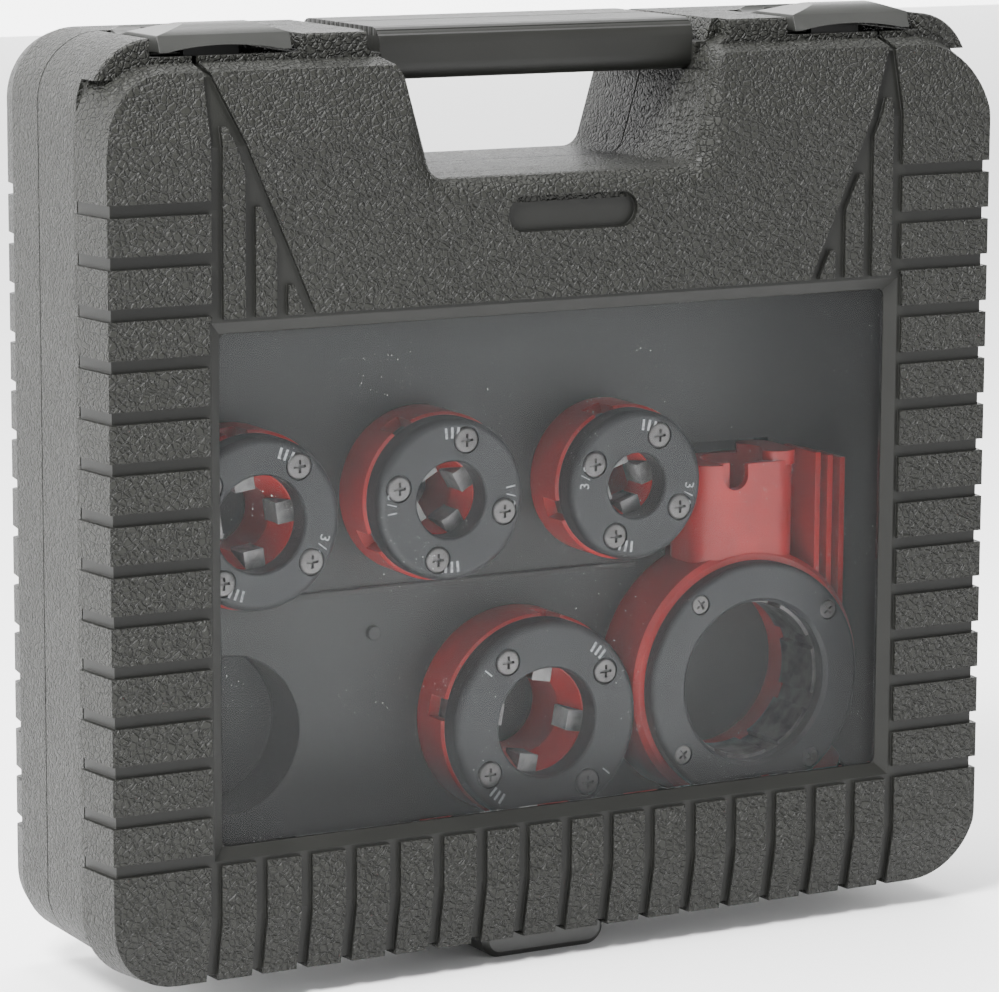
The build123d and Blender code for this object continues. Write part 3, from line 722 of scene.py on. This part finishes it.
class FinishShelf:
    """Makes each finish once and puts it on pieces."""

    def __init__(self) -> None:
        """Lists what each named finish is made of."""
        self.recipes: Dict[Finish, Any] = {
            Finish.LID: GrainedPlastic(),
            Finish.BACK: GrainedPlastic(
                mirrored=True,
                front_half=202.5 * MM,
                bumper_half=204.5 * MM,
                low_front=16.5 * MM,
                low_back=14.5 * MM,
                high_front=385.5 * MM,
                high_back=387.5 * MM,
                bumper_back=-40.0 * MM,
                corner=27.0 * MM,
            ),
            Finish.SMOOTH: MouldedPlastic(),
            Finish.TRAY: MouldedPlastic(
                colour=(0.010, 0.010, 0.010), light=(0.022, 0.022, 0.021), roughness=0.48, rounding=1.2 * MM
            ),
            Finish.PANE: SmokyPane(),
            Finish.RED: CastPaint((0.46, 0.012, 0.014), (0.30, 0.007, 0.009), wear=0.15),
            Finish.BLACK: CastPaint((0.016, 0.016, 0.019), (0.009, 0.009, 0.011), roughness=0.46, wear=0.10),
            Finish.CHASER: WorkedSteel(colour=(0.20, 0.19, 0.19), dark=(0.05, 0.045, 0.045), oil=0.8),
            Finish.SCREW: WorkedSteel(colour=(0.16, 0.15, 0.15), dark=(0.05, 0.045, 0.045), roughness=0.34),
            Finish.PLATED: WorkedSteel(
                colour=(0.56, 0.56, 0.55), roughness=0.22, scratch=(0.1, 1.0, 1.0), oil=0.2
            ),
            Finish.GRIP: MouldedPlastic(
                colour=(0.022, 0.022, 0.022), light=(0.05, 0.05, 0.05), roughness=0.62
            ),
            Finish.INK: PrintInk(),
            Finish.PAPER: StudioPaper(),
            Finish.GLOW: StudioPaper(glow=5.0),
        }
        self.made: Dict[Finish, bpy.types.Material] = {}

    def get(self, finish: Finish) -> bpy.types.Material:
        """Hands out the material of a finish, made on first use.

        Args:
            finish: The finish.

        Returns:
            The material.
        """
        if finish not in self.made:
            self.made[finish] = self.recipes[finish].material(finish.value)
        return self.made[finish]

    def dress(self, piece: bpy.types.Object, finish: Finish) -> None:
        """Gives a piece one finish.

        Args:
            piece: The mesh object.
            finish: The finish.
        """
        piece.data.materials.clear()
        piece.data.materials.append(self.get(finish))


# ------------------------------------------------------------------ mesh helpers
def mesh_piece(name: str, mesh: bmesh.types.BMesh) -> bpy.types.Object:
    """Turns a bmesh into an object in the scene.

    Args:
        name: The piece's name.
        mesh: The bmesh, which is freed.

    Returns:
        The new object.
    """
    bmesh.ops.recalc_face_normals(mesh, faces=mesh.faces)
    data = bpy.data.meshes.new(name)
    mesh.to_mesh(data)
    mesh.free()
    data.polygons.foreach_set("use_smooth", [True] * len(data.polygons))
    data.set_sharp_from_angle(angle=math.radians(35))
    piece = bpy.data.objects.new(name, data)
    bpy.context.scene.collection.objects.link(piece)
    return piece


def tube_along(mesh: bmesh.types.BMesh, points: Sequence[Vector], radius: float, sides: int) -> None:
    """Adds a closed round tube along a line of points.

    Args:
        mesh: The bmesh that it is added to.
        points: The centre line.
        radius: The tube's radius.
        sides: Faces round the tube.
    """
    rings: List[List[bmesh.types.BMVert]] = []
    normal = Vector((0, 0, 1))
    for i, point in enumerate(points):
        ahead = points[min(i + 1, len(points) - 1)] - points[max(i - 1, 0)]
        ahead.normalize()
        side = ahead.cross(normal)
        if side.length < 1e-6:
            side = ahead.cross(Vector((0, 1, 0)))
        side.normalize()
        normal = side.cross(ahead)
        ring = []
        for k in range(sides):
            angle = 2 * math.pi * k / sides
            ring.append(mesh.verts.new(point + (side * math.cos(angle) + normal * math.sin(angle)) * radius))
        rings.append(ring)
    for first, second in zip(rings, rings[1:]):
        for k in range(sides):
            mesh.faces.new((first[k], first[(k + 1) % sides], second[(k + 1) % sides], second[k]))
    mesh.faces.new(rings[0])
    mesh.faces.new(reversed(rings[-1]))


# ------------------------------------------------------------------ sub-assemblies
@dataclass
class SubAssembly:
    """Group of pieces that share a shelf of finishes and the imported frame."""

    frame: Dict[str, Any]
    shelf: FinishShelf

    def dress_node(self, node: str, finish: Finish) -> None:
        """Gives a carried-over node its finish.

        Args:
            node: The node's name.
            finish: The finish.
        """
        self.shelf.dress(self.frame["nodes"][node], finish)

    def centre(self, node: str) -> Vector:
        """Middle of a node's box.

        Args:
            node: The node's name.

        Returns:
            The middle point.
        """
        low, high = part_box(node)
        return (low + high) / 2


@dataclass
class CaseShells(SubAssembly):
    """Lid shell, rear shell, latches, hinge block, window pane and tray."""

    def build(self) -> None:
        """Dresses the case."""
        self.dress_node("lid_shell", Finish.LID)
        self.dress_node("rear_shell", Finish.BACK)
        self.dress_node("window_pane", Finish.PANE)
        self.dress_node("tool_tray", Finish.TRAY)
        for node in ("latch_left", "latch_right", "hinge_leaf_lid", "hinge_leaf_rear"):
            self.dress_node(node, Finish.SMOOTH)
        self.dress_node("hinge_pin", Finish.PLATED)


@dataclass
class DieHead(SubAssembly):
    """One die head: body, cover, chasers, screws and the size printed on its cover."""

    size: str = "half"
    label: str = "1/2"
    turn: float = 0.0
    letter_height: float = 4.6 * MM
    print_height: float = 0.12 * MM

    def build(self) -> None:
        """Dresses the nodes and prints the cover."""
        self.dress_node("die_body_" + self.size, Finish.RED)
        self.dress_node("die_cover_" + self.size, Finish.BLACK)
        self.dress_node("chasers_" + self.size, Finish.CHASER)
        self.dress_node("die_screws_" + self.size, Finish.SCREW)
        self._print_cover()

    def _print_cover(self) -> None:
        """Puts the size on two sides of the cover, and two sets of plain bars between."""
        low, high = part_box("die_cover_" + self.size)
        middle = (low + high) / 2
        ring = (high.x - low.x) / 2 - self.letter_height * 1.15 - 3.0 * MM
        mesh = bmesh.new()
        for offset in (0.0, 180.0):
            self._letters(mesh, middle, low.y, ring, self.turn + offset)
            self._bars(mesh, middle, low.y, ring, self.turn + offset + 90.0)
        piece = mesh_piece("size_print_" + self.size, mesh)
        self.shelf.dress(piece, Finish.INK)
        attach(piece, "die_head_" + self.size)

    def _letters(
        self, mesh: bmesh.types.BMesh, middle: Vector, front: float, ring: float, angle: float
    ) -> None:
        """Adds the size as letters that follow the ring.

        Args:
            mesh: The bmesh that they are added to.
            middle: The centre of the cover.
            front: The depth of the cover's face.
            ring: The radius of the letters' feet.
            angle: The middle of the word, in degrees from +X towards +Z.
        """
        advance = math.degrees(self.letter_height * 0.72 / ring)
        for i, letter in enumerate(self.label):
            at = angle + advance * ((len(self.label) - 1) / 2 - i)
            self._stamp(mesh, letter, middle, front, ring, at)

    def _stamp(
        self, mesh: bmesh.types.BMesh, letter: str, middle: Vector, front: float, ring: float, angle: float
    ) -> None:
        """Adds one letter on the ring, its head outwards.

        Args:
            mesh: The bmesh that it is added to.
            letter: The letter.
            middle: The centre of the cover.
            front: The depth of the cover's face.
            ring: The radius of the letter's foot.
            angle: Its place in degrees from +X towards +Z.
        """
        curve = bpy.data.curves.new("letter", "FONT")
        curve.body = letter
        curve.size = self.letter_height * 1.35
        curve.align_x = "CENTER"
        curve.extrude = self.print_height
        holder = bpy.data.objects.new("letter", curve)
        bpy.context.scene.collection.objects.link(holder)
        bpy.context.view_layer.update()
        flat = bpy.data.meshes.new_from_object(holder)
        a = math.radians(angle)
        outward = Vector((math.cos(a), 0, math.sin(a)))
        along = Vector((math.sin(a), 0, -math.cos(a)))
        origin = Vector((middle.x, front, middle.z)) + outward * ring
        basis = Matrix((along, outward, Vector((0, -1, 0)))).transposed().to_4x4()
        flat.transform(Matrix.Translation(origin) @ basis)
        mesh.from_mesh(flat)
        bpy.data.objects.remove(holder)
        bpy.data.curves.remove(curve)
        bpy.data.meshes.remove(flat)

    def _bars(self, mesh: bmesh.types.BMesh, middle: Vector, front: float, ring: float, angle: float) -> None:
        """Adds three short plain bars across the ring.

        Args:
            mesh: The bmesh that they are added to.
            middle: The centre of the cover.
            front: The depth of the cover's face.
            ring: The radius of the bars' feet.
            angle: The middle of the group, in degrees from +X towards +Z.
        """
        step = math.degrees(self.letter_height * 0.55 / ring)
        for i in (-1, 0, 1):
            a = math.radians(angle + i * step)
            turn = Matrix.Rotation(-a, 4, "Y")
            spot = Vector((middle.x, front, middle.z)) + turn @ Vector((ring + self.letter_height / 2, 0, 0))
            size = Matrix.Diagonal((self.letter_height, 2 * self.print_height, 1.1 * MM, 1.0))
            bmesh.ops.create_cube(mesh, size=1.0, matrix=Matrix.Translation(spot) @ turn @ size)


@dataclass
class RatchetHead(SubAssembly):
    """Ratchet head: housing, cover, screws, drive wheel, pawl with its spring and knob."""

    turns: int = 6
    wire: float = 0.55 * MM
    coil: float = 6.2 * MM
    steps: int = 20
    free_length: float = 8.6 * MM
    packed: float = 0.53
    pawl_angle: float = -45.0

    def build(self) -> None:
        """Dresses the nodes and winds the spring."""
        self.dress_node("ratchet_housing", Finish.RED)
        self.dress_node("ratchet_cover", Finish.BLACK)
        self.dress_node("ratchet_screws", Finish.SCREW)
        self.dress_node("ratchet_wheel", Finish.CHASER)
        self.dress_node("ratchet_pawl", Finish.CHASER)
        self.dress_node("pawl_knob", Finish.BLACK)
        self._wind_spring()

    def _wind_spring(self) -> None:
        """Winds the pawl's coil spring in place of its plain sleeve."""
        middle = self.centre("pawl_spring")
        slant = math.radians(self.pawl_angle)
        along = Vector((math.cos(slant), 0, math.sin(slant)))
        side = Vector((0, 1, 0))
        up = along.cross(side)
        length = self.free_length - 2 * self.wire
        count = self.turns * self.steps
        points = []
        for i in range(count + 1):
            share = i / count
            angle = 2 * math.pi * self.turns * share
            centre = middle + along * (share - 0.5) * length
            points.append(centre + (side * math.cos(angle) + up * math.sin(angle)) * self.coil)
        mesh = bmesh.new()
        tube_along(mesh, points, self.wire, 10)
        coil = mesh_piece("pawl_coil_spring", mesh)
        self.shelf.dress(coil, Finish.PLATED)
        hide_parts("pawl_spring")
        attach(coil, "ratchet_head")
        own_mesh(coil)


@dataclass
class BarHandle(SubAssembly):
    """Stowed bar handle: steel tube and rubber grip."""

    def build(self) -> None:
        """Dresses the handle."""
        self.dress_node("handle_tube", Finish.PLATED)
        self.dress_node("handle_grip", Finish.GRIP)


@dataclass(frozen=True)
class SoftLight:
    """One square soft light."""

    name: str
    at: Triple
    target_height: float
    size: float
    power: float

    def hang(self) -> None:
        """Hangs the light so that it faces the middle of the set."""
        data = bpy.data.lights.new(self.name, "AREA")
        data.size = self.size
        data.energy = self.power
        lamp = bpy.data.objects.new(self.name, data)
        lamp.location = self.at
        aim = Vector((0.0, 0.0, self.target_height)) - Vector(self.at)
        lamp.rotation_euler = aim.to_track_quat("-Z", "Y").to_euler()
        bpy.context.scene.collection.objects.link(lamp)


@dataclass
class Studio:
    """Pale floor, bright backdrop, soft lights and the camera."""

    shelf: FinishShelf
    camera_at: Triple = (-889.2 * MM, -1600.8 * MM, 511.3 * MM)
    yaw: float = -28.94
    pitch: float = -9.99
    roll: float = -0.28
    lens: float = 160.0
    floor_front: float = -14.0
    floor_half: float = 14.0
    floor_back: float = 30.0
    backdrop_half: float = 9.0
    backdrop_at: float = 5.0
    backdrop_low: float = -0.01
    backdrop_high: float = 6.0
    surround: Triple = (0.97, 0.98, 1.0)
    surround_strength: float = 0.5
    lights: Tuple[SoftLight, ...] = (
        SoftLight("key_softbox", (-1.4, -0.9, 2.0), 0.15, 0.7, 230.0),
        SoftLight("fill_softbox", (1.5, -1.9, 0.9), 0.2, 1.2, 16.0),
        SoftLight("top_softbox", (0.1, 0.3, 2.4), 0.2, 1.4, 110.0),
        SoftLight("side_softbox", (-2.3, 0.2, 0.7), 0.2, 1.0, 60.0),
    )

    def build(self) -> None:
        """Builds floor, backdrop, lights, world and camera."""
        half, back = self.floor_half, self.floor_back
        floor = [(half, back, 0), (half, self.floor_front, 0), (-half, self.floor_front, 0), (-half, back, 0)]
        self._sheet("studio_floor", floor, Finish.PAPER)
        half, at = self.backdrop_half, self.backdrop_at
        low, high = self.backdrop_low, self.backdrop_high
        backdrop = [(-half, at, low), (half, at, low), (half, at, high), (-half, at, high)]
        self._sheet("studio_backdrop", backdrop, Finish.GLOW)
        for light in self.lights:
            light.hang()
        self._world()
        self._camera()

    def _sheet(self, name: str, corners: Sequence[Triple], finish: Finish) -> None:
        """Lays or hangs one flat sheet of the studio.

        Args:
            name: The sheet's name.
            corners: Its corners in order.
            finish: Its finish.
        """
        mesh = bmesh.new()
        mesh.faces.new([mesh.verts.new(corner) for corner in corners])
        sheet = mesh_piece(name, mesh)
        self.shelf.dress(sheet, finish)
        sheet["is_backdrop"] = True

    def _world(self) -> None:
        """Sets an even pale surround."""
        world = bpy.data.worlds.new("studio_surround")
        world.use_nodes = True
        background = world.node_tree.nodes["Background"]
        background.inputs["Color"].default_value = (*self.surround, 1.0)
        background.inputs["Strength"].default_value = self.surround_strength
        bpy.context.scene.world = world

    def _camera(self) -> None:
        """Sets the camera from its place and its three turns."""
        turn = (
            Matrix.Rotation(math.radians(self.yaw), 3, "Z")
            @ Matrix.Rotation(math.radians(self.pitch), 3, "X")
            @ Matrix.Rotation(math.radians(self.roll), 3, "Y")
        )
        right, ahead, up = turn.col[0], turn.col[1], turn.col[2]
        data = bpy.data.cameras.new("studio_camera")
        data.lens = self.lens
        data.sensor_width = 36.0
        data.clip_start = 0.1
        data.clip_end = 60.0
        camera = bpy.data.objects.new("studio_camera", data)
        facing = Matrix((right, up, -ahead)).transposed().to_4x4()
        camera.matrix_world = Matrix.Translation(self.camera_at) @ facing
        bpy.context.scene.collection.objects.link(camera)
        bpy.context.scene.camera = camera


def main() -> None:
    """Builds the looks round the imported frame."""
    logging.basicConfig(level=logging.INFO, format="%(name)s: %(message)s")
    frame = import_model()
    shelf = FinishShelf()
    groups: List[Any] = [
        Studio(shelf),
        CaseShells(frame, shelf),
        DieHead(frame, shelf, size="three_quarter", label="3/4", turn=-22.0),
        DieHead(frame, shelf, size="half", label="1/2", turn=0.0),
        DieHead(frame, shelf, size="three_eighth", label="3/8", turn=-12.0),
        DieHead(frame, shelf, size="one_inch", label="1", turn=-40.0),
        RatchetHead(frame, shelf),
        BarHandle(frame, shelf),
    ]
    for group in groups:
        group.build()
        LOG.info("built %s", type(group).__name__)
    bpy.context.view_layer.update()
    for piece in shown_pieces():
        LOG.info("piece %s", piece.name)


if __name__ == "__main__":
    main()
